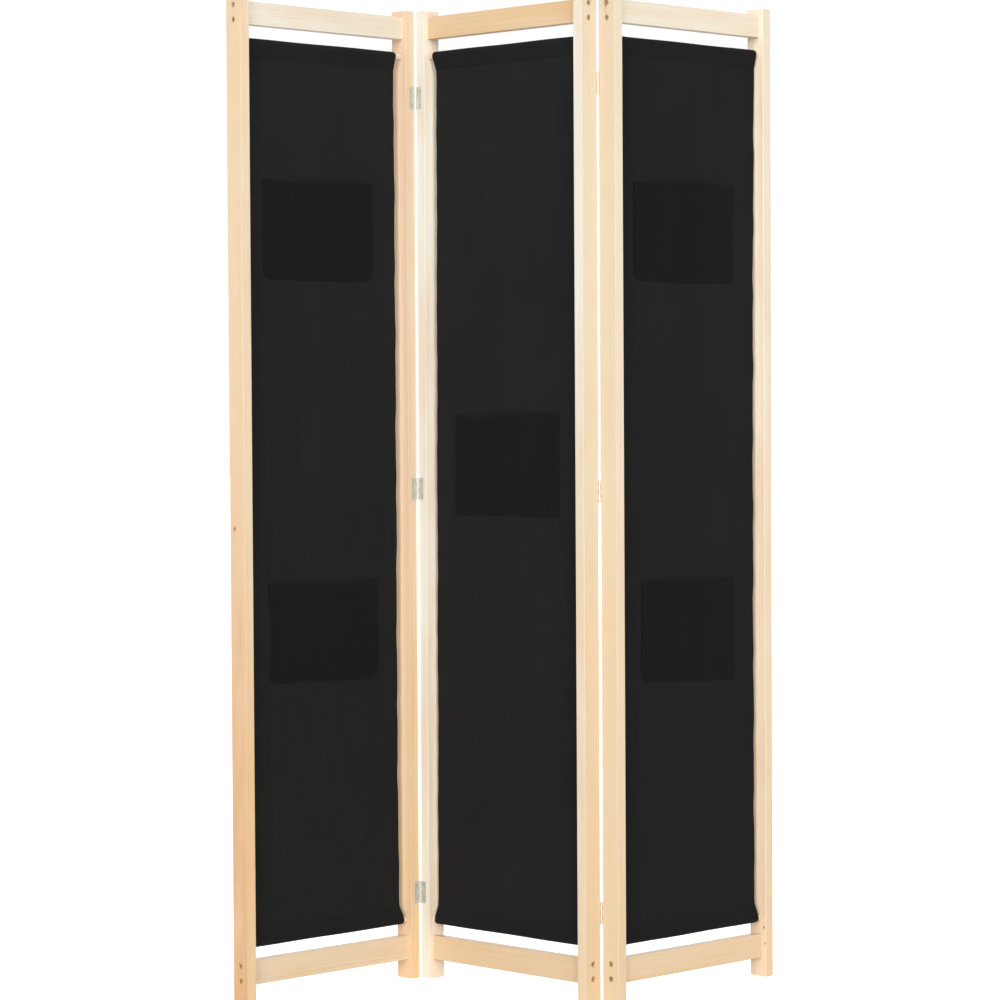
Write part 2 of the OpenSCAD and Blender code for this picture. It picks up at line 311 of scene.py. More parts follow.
def pine(node, grain, tones, pith, seed, light=1.0, knots=(), streaks=(), holes=()):
    """Planed pine for one CAD node.

    tones are how honey coloured it is at its top and bottom: 0 is cream and 1 is honey, and they
    may go past both; the paler tops are partly painted light. light is how pale it is beside the
    others, partly painted shade that darkens the right panel's pieces.
    pith is the middle of the growth rings, across the grain, in millimetres from the piece's
    middle.
    A knot is (x, y, z, radius) and a streak of resin is (x, y, z, radius, reach along the grain,
    depth of its colour), in millimetres from the piece's middle, with its grain turned to Z. Holes
    are the points where rods go in, in metres.
    """
    s = Shader(f"pine_{node}")
    place = s.place()
    own = s.vector("SUBTRACT", place, tuple(middle(node)))
    own = s.add("Mapping", {"Vector": own, "Rotation": GRAIN_TURN[grain]})
    shift = (seed * 1.37, seed * 0.71, seed * 2.13)

    def grained(vector, across, along, detail, offset=shift, output="Fac"):
        """Noise with about this many changes a metre across the grain and along it."""
        stretched = s.vector("MULTIPLY", vector, (across, across, along))
        return s.noise(s.vector("ADD", stretched, offset), 1.0, detail, output)

    # The pith wanders along the grain, and the rings and fibres with it.
    wander = s.vector("SUBTRACT", grained(own, 9, 2.2, 2.0, output="Color"), (0.5, 0.5, 0.5))
    bent = s.vector("ADD", own, s.vector("MULTIPLY", wander, (0.016, 0.016, 0)))
    late, spots = growth_rings(s, own, bent, pith, knots)
    fibre = grained(bent, 1500, 22, 3.0)
    streak = grained(bent, 130, 2.6, 3.0)
    cloud = grained(own, 14, 3.2, 2.0)
    flush = grained(own, 22, 5, 2.0, shift[::-1])

    height = s.axis(place, "Z")
    # Paler towards the top: partly the wood's own tone, partly painted light for the stronger light
    # on the tops.
    tone = s.rise(height, *TONE_AND_LIGHT_HEIGHTS, tones[1], tones[0])
    tone = s.math("ADD", tone, s.math("MULTIPLY_ADD", cloud, 0.8, -0.4))
    tone = s.math("ADD", tone, s.math("MULTIPLY_ADD", streak, 0.5, -0.25))
    colour = s.mix(tone, CREAM, HONEY, clamp=False)
    # How pale the piece is: partly its own tone, partly painted shade that darkens the right panel's
    # pieces.
    colour = s.mix(1.0, colour, grey(light), "MULTIPLY")
    # Painted light and shade along one side of some stiles, with the wood's own tone there.
    if node in SIDE_TONE_AND_LIGHT:
        side, foot_colour, top_colour = SIDE_TONE_AND_LIGHT[node]
        to_side = s.add("VectorMath", {0: own, 1: side}, "Value", operation="DOT_PRODUCT")
        side_colour = s.mix(s.rise(height, *TONE_AND_LIGHT_HEIGHTS), foot_colour, top_colour)
        colour = s.mix(s.rise(to_side, *SIDE_EDGE, 0.0, SIDE_SHARE), colour, side_colour)
    colour = s.mix(s.rise(flush, 0.42, 0.72, 0.0, 0.4), colour, PEACH)
    colour = s.mix(s.math("MULTIPLY", late, 0.18), colour, LATE_WOOD, "MULTIPLY")
    colour = s.mix(s.rise(fibre, 0.35, 0.75), colour, FIBRE_SHADE, "MULTIPLY")

    # Knots are dark at the rim and have rings of their own.
    for away, radius in spots:
        near = s.rise(away, 2.6 * radius, 0.8 * radius)
        colour = s.mix(s.math("MULTIPLY", near, 0.35), colour, KNOT)
        inner = s.math("SINE", s.math("MULTIPLY", away, 2 * math.pi / KNOT_RING))
        core = s.mix(s.math("MULTIPLY_ADD", inner, 0.25, 0.4), KNOT, KNOT_RIM_AND_HOLE_SHADE)
        colour = s.mix(s.rise(away, radius, 0.8 * radius), colour, core)
    for x, y, z, radius, reach, depth in streaks:
        from_streak = s.vector("SUBTRACT", bent, in_metres(x, y, z))
        away = s.length(s.vector("MULTIPLY", from_streak, (1, 1, radius / reach)))
        near = s.rise(away, radius * MM, 0.3 * radius * MM)
        share = s.math("MULTIPLY", near, s.rise(streak, 0.3, 0.6))
        colour = s.mix(s.math("MULTIPLY", share, depth), colour, RESIN)
    # A dark rim round each rod's hole: torn fibres and painted shade of the gap round the rod.
    for hole in holes:
        away = s.length(s.vector("SUBTRACT", place, tuple(hole)))
        rim_start, rim_full, rim_fade, rim_end = HOLE_RIM_AND_SHADE
        rim = s.math("MULTIPLY", s.rise(away, rim_start, rim_full), s.rise(away, rim_end, rim_fade))
        colour = s.mix(s.math("MULTIPLY", rim, 0.35), colour, KNOT_RIM_AND_HOLE_SHADE)

    grain_height = s.math("MULTIPLY_ADD", late, 0.6, s.math("MULTIPLY", fibre, 0.7))
    rough = s.math("MULTIPLY_ADD", fibre, 0.16, s.math("MULTIPLY_ADD", late, -0.08, 0.46))
    return s.finish(
        Base_Color=colour,
        Roughness=rough,
        Specular_IOR_Level=0.3,
        Normal=s.bump(grain_height, 0.35, 0.12 * MM),
    )


THREAD_PITCH = 0.62 * MM


def cloth_material(name, panel, shade):
    """Plain-woven black cloth, with threads of uneven thickness. shade is its linear brightness."""
    s = Shader(name)
    place = s.place()
    up = s.axis(place, "Z")

    def weave(position):
        return s.math("SINE", s.math("MULTIPLY", position, math.pi / THREAD_PITCH))

    warp = weave(s.axis(place, "X" if panel == "centre" else "Y"))
    weft = weave(up)
    over = s.rise(s.math("MULTIPLY", warp, weft), -0.35, 0.35)
    warp_top = s.math("MULTIPLY", s.math("ABSOLUTE", warp), over)
    weft_top = s.math("MULTIPLY", s.math("ABSOLUTE", weft), s.math("SUBTRACT", 1.0, over))
    height = s.math("MAXIMUM", warp_top, weft_top)

    # Threads differ along their length: warp threads stand and weft threads lie.
    warp_slub = s.noise(s.vector("MULTIPLY", place, (260, 260, 9)), 1.0, 3.0)
    weft_slub = s.noise(s.vector("MULTIPLY", place, (9, 9, 1400)), 1.0, 3.0)
    slub = s.mix(over, weft_slub, warp_slub)
    cloud = s.noise(place, 7.0, 2.0)

    # Painted shade and highlight: the threads' tops are lighter and the hollows between them darker.
    colour = s.mix(s.rise(height, 0.1, 0.9), grey(0.62 * shade), grey(1.25 * shade))
    colour = s.mix(s.rise(slub, 0.3, 0.75), colour, grey(0.72), "MULTIPLY")
    colour = s.mix(s.rise(cloud, 0.3, 0.7), colour, (0.90, 0.90, 0.91, 1), "MULTIPLY")
    # Painted shade: it is a little darker lower down, where less light falls on it.
    colour = s.mix(s.rise(up, 1.6, 0.2), colour, grey(0.89), "MULTIPLY")
    tall = s.math("MULTIPLY_ADD", slub, 0.5, height)
    return s.finish(
        Base_Color=colour,
        Roughness=0.92,
        Specular_IOR_Level=0.12,
        Sheen_Weight=0.02,
        Sheen_Roughness=0.5,
        Normal=s.bump(tall, 0.55, 0.1 * MM),
    )


# How bright each panel's cloth is: where it is single, in its sleeves and hems, in its pockets.
# This is partly its own black and partly painted light: the single layer is lighter for the light
# shining through it, the double layers and pockets darker, the right panel darker for less light.
CLOTH_SHADES_AND_LIGHT = {
    "left": (0.0162, 0.0142, 0.0094),
    "centre": (0.0155, 0.0136, 0.0092),
    "right": (0.0106, 0.0093, 0.0053),
}


def thread_material():
    s = Shader("black_thread")
    twist = s.noise(s.vector("MULTIPLY", s.place(), (3000, 3000, 3000)), 1.0, 1.0)
    return s.finish(
        Base_Color=s.mix(twist, (0.010, 0.010, 0.011, 1), (0.028, 0.028, 0.030, 1)),
        Roughness=0.6,
        Specular_IOR_Level=0.35,
    )


# The darkest and lightest colours of each metal.
LEFT_ZINC = ((0.57, 0.56, 0.50, 1), (0.70, 0.69, 0.62, 1))
# The right fold's zinc is painted warm: a painted reflection of the wood in the notch round it.
RIGHT_ZINC_AND_REFLECTION = ((0.74, 0.68, 0.57, 1), (0.84, 0.78, 0.66, 1))
HINGE_SCREW = ((0.46, 0.48, 0.46, 1), (0.66, 0.68, 0.66, 1))
FRAME_SCREW = ((0.50, 0.36, 0.22, 1), (0.80, 0.61, 0.40, 1))


def hinge_material(name, metal):
    """Bright zinc plate with faint smears and rolling lines."""
    s = Shader(name)
    place = s.place()
    smear = s.noise(place, 60.0, 2.0)
    lines = s.noise(s.vector("MULTIPLY", place, (2600, 2600, 90)), 1.0, 2.0)
    return s.finish(
        Base_Color=s.mix(smear, *metal),
        Metallic=0.9,
        Roughness=s.math("MULTIPLY_ADD", smear, 0.12, 0.40),
        Normal=s.bump(lines, 0.08, 0.04 * MM),
    )


def screw_material(name, metal):
    s = Shader(name)
    wear = s.noise(s.place(), 700.0, 3.0)
    return s.finish(
        Base_Color=s.mix(s.rise(wear, 0.35, 0.7), *metal),
        Metallic=1.0,
        Roughness=s.math("MULTIPLY_ADD", wear, 0.25, 0.3),
    )


def dress(node, material):
    """Gives a CAD node its material."""
    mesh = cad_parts[node].data
    mesh.materials.clear()
    mesh.materials.append(material)


# Each wooden piece: honey tone at top and bottom (the paler tops partly painted light), pith,
# how pale (partly painted shade, darker on the right panel), knots, streaks of resin.
WOOD = {
    "left_left_stile": (
        (0.40, 1.06), (58, 20), 1.045, [(-6, -10, -45, 2.2)],
        [(18, -2, 253, 2.8, 22, 0.45), (-8, -10, 243, 3.4, 24, 0.45), (4, -10, -215, 3.0, 60, 0.3)],
    ),
    "left_right_stile": ((0.60, 1.02), (-30, 52), 1.015, [], []),
    "left_top_rail": ((-0.08, -0.08), (44, 30), 1.0, [], []),
    "left_bottom_rail": ((0.72, 0.72), (-40, 36), 1.0, [], []),
    "centre_left_stile": ((-0.44, -0.40), (-52, -26), 0.98, [], []),
    "centre_right_stile": (
        (-0.15, 0.60), (36, 48), 1.02, [],
        [(9, 0, 690, 1.6, 22, 0.6), (9, -6, 300, 2.2, 24, 0.5), (9, 2, -124, 2.0, 16, 0.8)],
    ),
    "centre_top_rail": ((1.02, 1.02), (30, -44), 0.99, [], []),
    "centre_bottom_rail": ((0.82, 0.82), (-34, -40), 0.99, [], []),
    "right_left_stile": (
        (0.18, 0.74), (46, -38), 0.95, [],
        [(-2, -10, 836, 4.5, 30, 0.8), (-8, -10, -140, 1.8, 20, 0.7), (4, -10, -20, 2.0, 30, 0.3)],
    ),
    "right_right_stile": (
        (0.20, 0.76), (-24, 56), 0.935, [(14, -10, -763, 1.4), (16, -10, -791, 1.2)], [],
    ),
    "right_top_rail": ((0.08, 0.08), (50, 22), 0.95, [], []),
    "right_bottom_rail": ((0.84, 0.84), (28, 46), 0.93, [], [(2, 9, 60, 5, 70, 0.8)]),
}
# How brightly the studio lights a stile's outer side, and its inner side, beside the cloth.
OUTER_SIDE = 1.18
INNER_SIDE = 1.0
# Each stile's wood differs along one side, partly in its own tone and partly as painted light and
# shade: inner sides beside the cloth are painted lighter against its shade, outer sides darker
# against the light thrown on them. Each gives the way that side faces, its colour at foot and top.
SIDE_TONE_AND_LIGHT = {
    "left_left_stile": (
        (0, -1, 0), srgb(224, 175, 129, OUTER_SIDE), srgb(240, 211, 173, OUTER_SIDE),
    ),
    "left_right_stile": (
        (0, -1, 0), srgb(234, 197, 156, INNER_SIDE), srgb(234, 200, 166, INNER_SIDE),
    ),
    "centre_left_stile": (
        (1, 0, 0), srgb(240, 219, 192, INNER_SIDE), srgb(246, 236, 218, INNER_SIDE),
    ),
    "centre_right_stile": (
        (1, 0, 0), srgb(236, 207, 168, OUTER_SIDE), srgb(236, 221, 190, OUTER_SIDE),
    ),
    "right_left_stile": (
        (0, -1, 0), srgb(237, 217, 183, OUTER_SIDE), srgb(236, 220, 190, OUTER_SIDE),
    ),
    "right_right_stile": (
        (0, -1, 0), srgb(242, 217, 188, INNER_SIDE), srgb(253, 236, 211, INNER_SIDE),
    ),
}
# Where that side's painted colour starts and is full, from the stile's middle, and its share where
# it is full.
SIDE_EDGE = (8.2 * MM, 9.4 * MM)
SIDE_SHARE = 0.8
ROD_TONE = (0.35, 0.55)
ROD_PITH = (18, 9)
# Numbers that make each piece's grain its own.
WOOD_SEED = 3.1
ROD_SEED = 40.7


def rod_holes(node):
    """The points where a stile's two rods go into its inner face."""
    panel, side = node.split("_")[:2]
    across = PANEL_FRAMES[panel].to_3x3() @ Vector((1, 0, 0))
    low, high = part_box(node)
    half_width = abs((high - low).dot(across)) / 2
    points = []
    for place in ("top", "bottom"):
        point = middle(node) + across * half_width * (1 if side == "left" else -1)
        point.z = middle(f"{panel}_{place}_rod").z
        points.append(point)
    return points


def dress_frame():
    """Gives every visible CAD node but the cloth its material."""
    for index, (node, (tones, pith, light, knots, streaks)) in enumerate(WOOD.items()):
        stile = node.endswith("stile")
        grain = "z" if stile else "x" if node.startswith("centre") else "y"
        holes = rod_holes(node) if stile else []
        seed = WOOD_SEED + index
        dress(node, pine(node, grain, tones, pith, seed, light, knots, streaks, holes))
    frame_screw = screw_material("bronzed_screw", FRAME_SCREW)
    for index, panel in enumerate(PANELS):
        grain = "x" if panel == "centre" else "y"
        for place in ("top", "bottom"):
            rod = f"{panel}_{place}_rod"
            dress(rod, pine(rod, grain, ROD_TONE, ROD_PITH, ROD_SEED + index))
        dress(f"{panel}_frame_screws", frame_screw)
    zincs = {
        "left_fold": hinge_material("zinc_plate", LEFT_ZINC),
        "right_fold": hinge_material("zinc_plate_with_wood_reflection", RIGHT_ZINC_AND_REFLECTION),
    }
    hinge_screw = screw_material("zinc_screw", HINGE_SCREW)
    for fold in FOLDS:
        for place in PLACES:
            for part in ("fixed_leaf", "moving_leaf", "pin"):
                dress(f"{fold}_{place}_{part}", zincs[fold])
        for part in ("fixed", "moving"):
            dress(f"{fold}_{part}_screws", hinge_screw)


# ---- Shape helpers ----


def bell(distance, width):
    return np.exp(-((distance / width) ** 2))


def rise(value, start, end):
    share = np.clip((value - start) / (end - start), 0, 1)
    return share * share * (3 - 2 * share)


def line_through(values):
    """A smooth line through evenly spaced values, as a function of 0 to 1."""
    values = np.array(values, float)
    slopes = np.gradient(values)

    def line(share):
        place = np.clip(share, 0, 1) * (len(values) - 1)
        first = np.minimum(place.astype(int), len(values) - 2)
        t = place - first
        a, b = values[first], values[first + 1]
        u, v = slopes[first], slopes[first + 1]
        return (
            a * (1 + 2 * t) * (1 - t) ** 2
            + u * t * (1 - t) ** 2
            + b * t * t * (3 - 2 * t)
            - v * t * t * (1 - t)
        )

    return line


def panel_mesh(name, panel, points, faces):
    """A mesh from points in the panel's frame, in millimetres."""
    mesh = bpy.data.meshes.new(name)
    mesh.from_pydata((np.array(points) * MM).tolist(), [], faces)
    mesh.transform(PANEL_FRAMES[panel])
    return mesh


CLOTH_THICKNESS = 0.55


def grid_piece(name, panel, points, materials, second=None):
    """A sheet of cloth from a grid of points in the panel's frame, in millimetres.

    second says which faces of the grid take the second material.
    """
    rows, columns = points.shape[:2]
    index = np.arange(rows * columns).reshape(rows, columns)
    corners = [index[:-1, :-1], index[:-1, 1:], index[1:, 1:], index[1:, :-1]]
    faces = np.stack(corners, -1).reshape(-1, 4)
    mesh = panel_mesh(name, panel, points.reshape(-1, 3), faces.tolist())
    for material in materials:
        mesh.materials.append(material)
    if second is not None:
        mesh.polygons.foreach_set("material_index", second.reshape(-1).astype(np.int32))
    mesh.shade_smooth()
    piece = add_object(name, mesh)
    solid = piece.modifiers.new("thickness", "SOLIDIFY")
    solid.thickness = CLOTH_THICKNESS * MM
    solid.offset = 0
    return piece


STITCH_PITCH = 3.6
STITCH_LENGTH = 2.9
STITCH_WIDTH = 0.5
FIRST_STITCH = 0.4    # from the start of a row
STITCH_ARCH = 0.4     # of half its width, at its middle


def stitch_row(line, way):
    """A row of stitches along points on the cloth's front, way -1, or its back, way 1."""
    return line, np.tile([0.0, way, 0.0], (len(line), 1))


def stitch_piece(name, panel, rows, material):
    """Rows of stitches as one piece. A row is its points and the cloth's outward directions."""
    corners, faces = [], []
    for points, outs in rows:
        steps = np.linalg.norm(np.diff(points, axis=0), axis=1)
        along = np.concatenate([[0], np.cumsum(steps)])
        for start in np.arange(FIRST_STITCH, along[-1] - STITCH_LENGTH, STITCH_PITCH):
            ends = [start, start + STITCH_LENGTH]
            a, b = np.stack([np.interp(ends, along, points[:, i]) for i in range(3)], -1)
            out = np.array([np.interp(start, along, outs[:, i]) for i in range(3)])
            side = np.cross(b - a, out)
            side *= STITCH_WIDTH / 2 / np.linalg.norm(side)
            lift = out * STITCH_WIDTH / 2
            centre = (a + b) / 2 + STITCH_ARCH * lift
            first = len(corners)
            corners += [a, centre + side, centre + lift, centre - side, centre - lift, b]
            for k in range(4):
                near, far = first + 1 + k, first + 1 + (k + 1) % 4
                faces += [(first, near, far), (first + 5, far, near)]
    mesh = panel_mesh(name, panel, corners, faces)
    mesh.materials.append(material)
    return add_object(name, mesh)


# ---- Cloth panels ----

SLEEVE = 26          # from the rod's centre to the seam
FLAP = 9             # the sleeve's raw edge below its seam, at the back
HEM = 9              # width of a side hem
HEM_STITCH = 7       # from the cloth's edge
LAYER = 0.8          # between the middles of two layers of cloth
SURFACE = 0.3        # from the middle of a layer to its face
ROD_GAP = 0.23       # from a rod to the middle of the layer round it
FLAP_BACK = 0.9      # from the middle of the sheet to the flap's, behind it
SUNK = 0.2           # how far a stitch sinks into the cloth
PRESSED = 0.15       # how far a hem's stitches press its layers together
DENT = 0.22          # how far a row of stitches presses the face in
GATHER = 3.4         # the gathers along a seam are 2 pi of these apart
GATHER_REACH = 9     # how far from a seam they stand highest
GATHER_HEIGHT = 0.42
RIPPLE_REACH = 14    # how far in from a side edge its ripple fades
RIPPLE_HEIGHT = 0.7
CREASE_WIDTH = 7     # of a crease from a pocket's corner
CREASE_HEIGHT = 0.7
CREASE_REACH = 240
ROD_ROUND = 40       # how near a rod an edge turns towards its place on the rod
ROUND_IN = 2.5       # how far the sleeve's ends draw in over the rod

# The cloth's left and right edges: at the top rod, down the sheet at even steps, at the bottom rod.
EDGES = {
    "left": (
        (-172, (-173, -173, -172.5, -174, -173), -172),
        (166.5, (166.5, 167.5, 167.5, 166.5, 168), 174),
    ),
    "centre": (
        (-171.5, (-168, -170, -172, -173.5, -175.5), -178),
        (171, (169, 169.5, 168.5, 168, 169), 172),
    ),
    "right": (
        (-170, (-168.5, -169.5, -169, -168.5, -169), -171),
        (176, (177, 172.5, 170.5, 170.5, 171), 174.5),
    ),
}
# Broad soft folds: place across, width, height, middle and reach up and down, lean.
SOFT_FOLDS = {
    "left": [
        (20, 34, 2.2, 1000, 420, 0.01),
        (-70, 30, -1.8, 950, 380, -0.02),
        (95, 26, 1.5, 420, 300, 0.02),
        (-30, 40, 1.6, 330, 240, 0.03),
    ],
    "centre": [
        (-20, 36, 2.4, 1250, 360, 0.0),
        (60, 28, -1.7, 1330, 300, 0.015),
        (-95, 24, 1.4, 560, 260, -0.02),
        (30, 42, 1.9, 430, 260, 0.02),
    ],
    "right": [
        (38, 30, 2.1, 1050, 330, 0.0),
        (-60, 34, -1.9, 980, 360, 0.02),
        (105, 22, 1.3, 1480, 180, 0.0),
        (-20, 38, 1.7, 360, 240, -0.02),
    ],
}


class Cloth:
    """One panel's cloth: where its edges are, and how far it stands forward of the rods' plane."""

    def __init__(self, panel):
        self.panel = panel
        top_low, top_high = own_box(panel, f"{panel}_top_rod")
        bottom_low, bottom_high = own_box(panel, f"{panel}_bottom_rod")
        self.top_z = (top_low[2] + top_high[2]) / 2
        self.bottom_z = (bottom_low[2] + bottom_high[2]) / 2
        self.radius = (top_high[2] - top_low[2]) / 2 + ROD_GAP + LAYER
        self.high = self.top_z - SLEEVE
        self.low = self.bottom_z + SLEEVE
        rng = random.Random(panel)
        self.puckers = [rng.uniform(0, 2 * math.pi) for _ in range(8)]
        # Corners of pockets, each with the way from it, up or down, that a crease runs.
        self.corners = []

    def edge(self, side, z):
        """The cloth's left (0) or right (1) edge at a height."""
        top, sheet, bottom = EDGES[self.panel][side]
        waist = line_through(sheet)((self.high - z) / (self.high - self.low))
        up = rise(z, self.top_z - ROD_ROUND, self.top_z - 2) ** 1.3
        down = rise(z, self.bottom_z + ROD_ROUND, self.bottom_z + 2) ** 1.3
        wave = 0.5 * np.sin(z / 47 + self.puckers[side])
        wave = wave + 0.3 * np.sin(z / 19 + self.puckers[side + 2])
        wave *= rise(z, self.low, self.low + 60) * rise(z, self.high, self.high - 60)
        over = rise(z, self.top_z, self.top_z + 8) + rise(z, self.bottom_z, self.bottom_z - 8)
        round_in = ROUND_IN * over * over * (1 if side == 0 else -1)
        return waist + (top - waist) * up + (bottom - waist) * down + wave + round_in

    def forward(self, x, z):
        """How far the cloth stands in front of the rods' plane."""
        from_seam = np.minimum(self.high - z, z - self.low)
        free = rise(from_seam, 0, 90)
        total = np.zeros(np.broadcast(x, z).shape)
        for place, width, height, z_mid, reach, lean in SOFT_FOLDS[self.panel]:
            across = x - place - lean * (z - z_mid)
            total = total + height * bell(across, width) * bell(z - z_mid, reach)
        # Faint creases run up and down from the pockets' corners, and the side edges ripple.
        for x_corner, z_corner, way in self.corners:
            drop = (z - z_corner) * way
            crease = bell(x - x_corner + 0.03 * drop, CREASE_WIDTH)
            crease = crease * rise(drop, -4, 10) * rise(drop, CREASE_REACH, 20)
            total = total + CREASE_HEIGHT * crease
        edge_in = np.minimum(x - self.edge(0, z), self.edge(1, z) - x)
        ripple = np.sin(z / 13 + self.puckers[4]) * np.sin(z / 41 + self.puckers[5])
        total = total + RIPPLE_HEIGHT * ripple * np.exp(-np.maximum(edge_in, 0) / RIPPLE_REACH)
        total = total * free
        # Gathers run out from each seam.
        gather = np.sin(x / GATHER + self.puckers[6])
        gather = gather * (0.6 + 0.4 * np.sin(x / 23 + self.puckers[7]))
        away = np.maximum(from_seam, 0) / GATHER_REACH
        return total + GATHER_HEIGHT * gather * away * np.exp(1 - away) * rise(from_seam, 80, 30)


def spaced(start, end, fine, step):
    """Places from start to end: close together near both ends, by fine's steps, then evenly."""
    way = 1 if end > start else -1
    first = [start + way * f for f in fine]
    last = [end - way * f for f in reversed(fine)]
    count = max(2, round(abs(last[0] - first[-1]) / step))
    return np.concatenate([first, np.linspace(first[-1], last[0], count + 1)[1:-1], last])


def sleeve_path(cloth):
    """The cloth's line round the top rod, from the flap behind, over the rod, to the seam in front.

    Gives (back, up) points from the rod's centre and their outward directions.
    """
    r = cloth.radius
    lean = math.acos(r / SLEEVE)
    away = np.array([math.sin(lean), -math.cos(lean)])
    points = [(FLAP_BACK, -SLEEVE - d) for d in (FLAP, FLAP - 2, 4, 1.5)]
    outs = [(1, 0)] * len(points)
    start, end = np.array([FLAP_BACK, -SLEEVE]), r * away
    for share in (0, 0.04, 0.1, 0.25, 0.5, 0.75, 0.95):
        points.append(tuple(start + (end - start) * share))
        outs.append(tuple(away))
    for angle in np.linspace(lean - math.pi / 2, 1.5 * math.pi - lean, 17):
        points.append((r * math.cos(angle), r * math.sin(angle)))
        outs.append((math.cos(angle), math.sin(angle)))
    start, end = end * (-1, 1), np.array([0, -SLEEVE])
    for share in (0.05, 0.25, 0.5, 0.75, 0.9, 0.96):
        points.append(tuple(start + (end - start) * share))
        outs.append((-away[0], away[1]))
    return np.array(points), np.array(outs)


CLOTH_COLUMNS = 52
# Distances from a seam of the rows near it, and how far apart the others are.
SEAM_ROWS = [0, 0.8, 2, 4, 7, 11, 16, 22, 30]
ROW_STEP = 10


def cloth_section():
    """Across the cloth: share of its width, distance from that edge and depth behind its face."""
    hem = [(HEM, LAYER), (HEM - 0.8, LAYER), (HEM_STITCH, LAYER - PRESSED), (5, LAYER)]
    hem += [(2.5, LAYER), (1.0, LAYER), (0.25, LAYER - 0.12), (0, LAYER / 2)]
    hem += [(0.25, 0.12), (1.0, 0), (2.5, 0), (5, 0), (6.3, 0.02), (HEM_STITCH, 0.2)]
    hem += [(7.7, 0.02), (HEM, 0.0), (11, 0)]
    left = [(0.0, distance, depth) for distance, depth in hem]
    right = [(1.0, -distance, depth) for distance, depth in reversed(hem)]
    inner = hem[-1][0]
    shares = np.arange(1, CLOTH_COLUMNS) / CLOTH_COLUMNS
    between = [(share, inner * (1 - 2 * share), 0) for share in shares]
    return np.array(left + between + right), len(hem)


def cloth_grid(cloth, loop, loop_out):
    """The cloth's points, from one sleeve down to the other, and which of its faces are double."""
    sheet_z = spaced(cloth.high, cloth.low, SEAM_ROWS, ROW_STEP)
    flat = np.zeros(len(sheet_z))
    back = np.concatenate([loop[:, 0], flat, loop[::-1, 0]])
    height = np.concatenate([loop[:, 1] + cloth.top_z, sheet_z, cloth.bottom_z - loop[::-1, 1]])
    out_back = np.concatenate([loop_out[:, 0], flat - 1, loop_out[::-1, 0]])
    out_up = np.concatenate([loop_out[:, 1], flat, -loop_out[::-1, 1]])
    rows = len(loop)
    in_sheet = np.zeros((len(height), 1), bool)
    in_sheet[rows : rows + len(sheet_z)] = True

    section, hem_columns = cloth_section()
    z = height[:, None]
    left, right = cloth.edge(0, z), cloth.edge(1, z)
    x = left + (right - left) * section[:, 0] + section[:, 1]
    depth = section[:, 2] + 0 * z
    on_face = section[:, 2] == 0

    # Small puckers where the seam gathers the sleeve, and its stitches press the cloth in.
    seam_z = np.where(z > (cloth.high + cloth.low) / 2, cloth.high, cloth.low)
    near = np.exp(-np.abs(z - seam_z) / GATHER_REACH) * ~in_sheet
    over_rod = rise(np.abs(z - seam_z), 0, 6) * ~in_sheet
    pucker = np.sin(x / GATHER + cloth.puckers[6]) * near * 0.3 * over_rod
    slack = 0.25 * np.sin(x / 31 + cloth.puckers[0]) * over_rod
    depth = depth - pucker - slack * on_face
    depth = depth + DENT * bell(z - seam_z, 1.1) * on_face

    y = back[:, None] - out_back[:, None] * depth
    y = y - cloth.forward(x, z) * in_sheet
    up = z - out_up[:, None] * depth
    double = np.ones((len(height) - 1, len(section) - 1), bool)
    double[rows : rows + len(sheet_z) - 1, hem_columns - 1 : 1 - hem_columns] = False
    return np.stack([x, y, up], -1), double


def cloth_seams(cloth):
    """Stitch rows on the front and back of both sleeves' seams and both side hems."""
    seams = []
    shares = np.linspace(0.004, 0.996, 120)
    for seam in (cloth.high, cloth.low):
        level = np.full(len(shares), seam)
        across = cloth.edge(0, level) + (cloth.edge(1, level) - cloth.edge(0, level)) * shares
        for way, lift in ((-1, SURFACE - SUNK), (1, FLAP_BACK + SURFACE)):
            line = np.stack([across, level * 0 + way * lift, level], -1)
            seams.append(stitch_row(line, way))
    levels = np.linspace(cloth.high - 3, cloth.low + 3, 400)
    for side, inward in ((0, 1), (1, -1)):
        across = cloth.edge(side, levels) + inward * HEM_STITCH
        forward = cloth.forward(across, levels)
        for way, lift in ((-1, SURFACE - SUNK), (1, LAYER - PRESSED + SURFACE)):
            line = np.stack([across, way * lift - forward, levels], -1)
            seams.append(stitch_row(line, way))
    return seams


def cloth_panel(panel, materials, thread):
    """One panel's cloth with its sleeves and side hems, and its stitches."""
    cloth = CLOTHS[panel]
    loop, loop_out = sleeve_path(cloth)
    points, double = cloth_grid(cloth, loop, loop_out)
    piece = grid_piece(f"{panel}_cloth", panel, points, materials, double)
    sewing = stitch_piece(f"{panel}_cloth_stitches", panel, cloth_seams(cloth), thread)

    body = f"{panel}_panel"
    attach(piece, body)
    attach(sewing, body)
    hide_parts(f"{panel}_fabric")


# ---- Pockets ----

# How far a pocket's face stands off the cloth at these distances from its sewn edge.
POCKET_EDGE = [0, 0.3, 0.8, 1.6, 2.4, 3.0, 3.6, 4.6, 7, 9, 12]
POCKET_RISE = [0.35, 1.0, 1.35, 1.4, 1.3, 1.05, 1.3, 1.4, 1.35, 1.1, 1.0]
LEAST_STAND = 0.6
POCKET_FOLD = 0.55
# Distances from a pocket's edge and from its mouth.
POCKET_STITCH = 3
POCKET_HEM = 16
POCKET_HEM_STITCH = 14
# Rows below the mouth: down the face, then up behind it as the hem.
MOUTH_ROWS = np.array([20, 16, 14.7, 14, 13.3, 11, 7, 3, 1.2, 0.35, 0])
HEM_ROWS = np.array([0.0, 0.3, 1.2, 4, 8, 12, POCKET_HEM_STITCH, POCKET_HEM])
POCKET_COLUMNS = 34
POCKET_ROW_STEP = 7

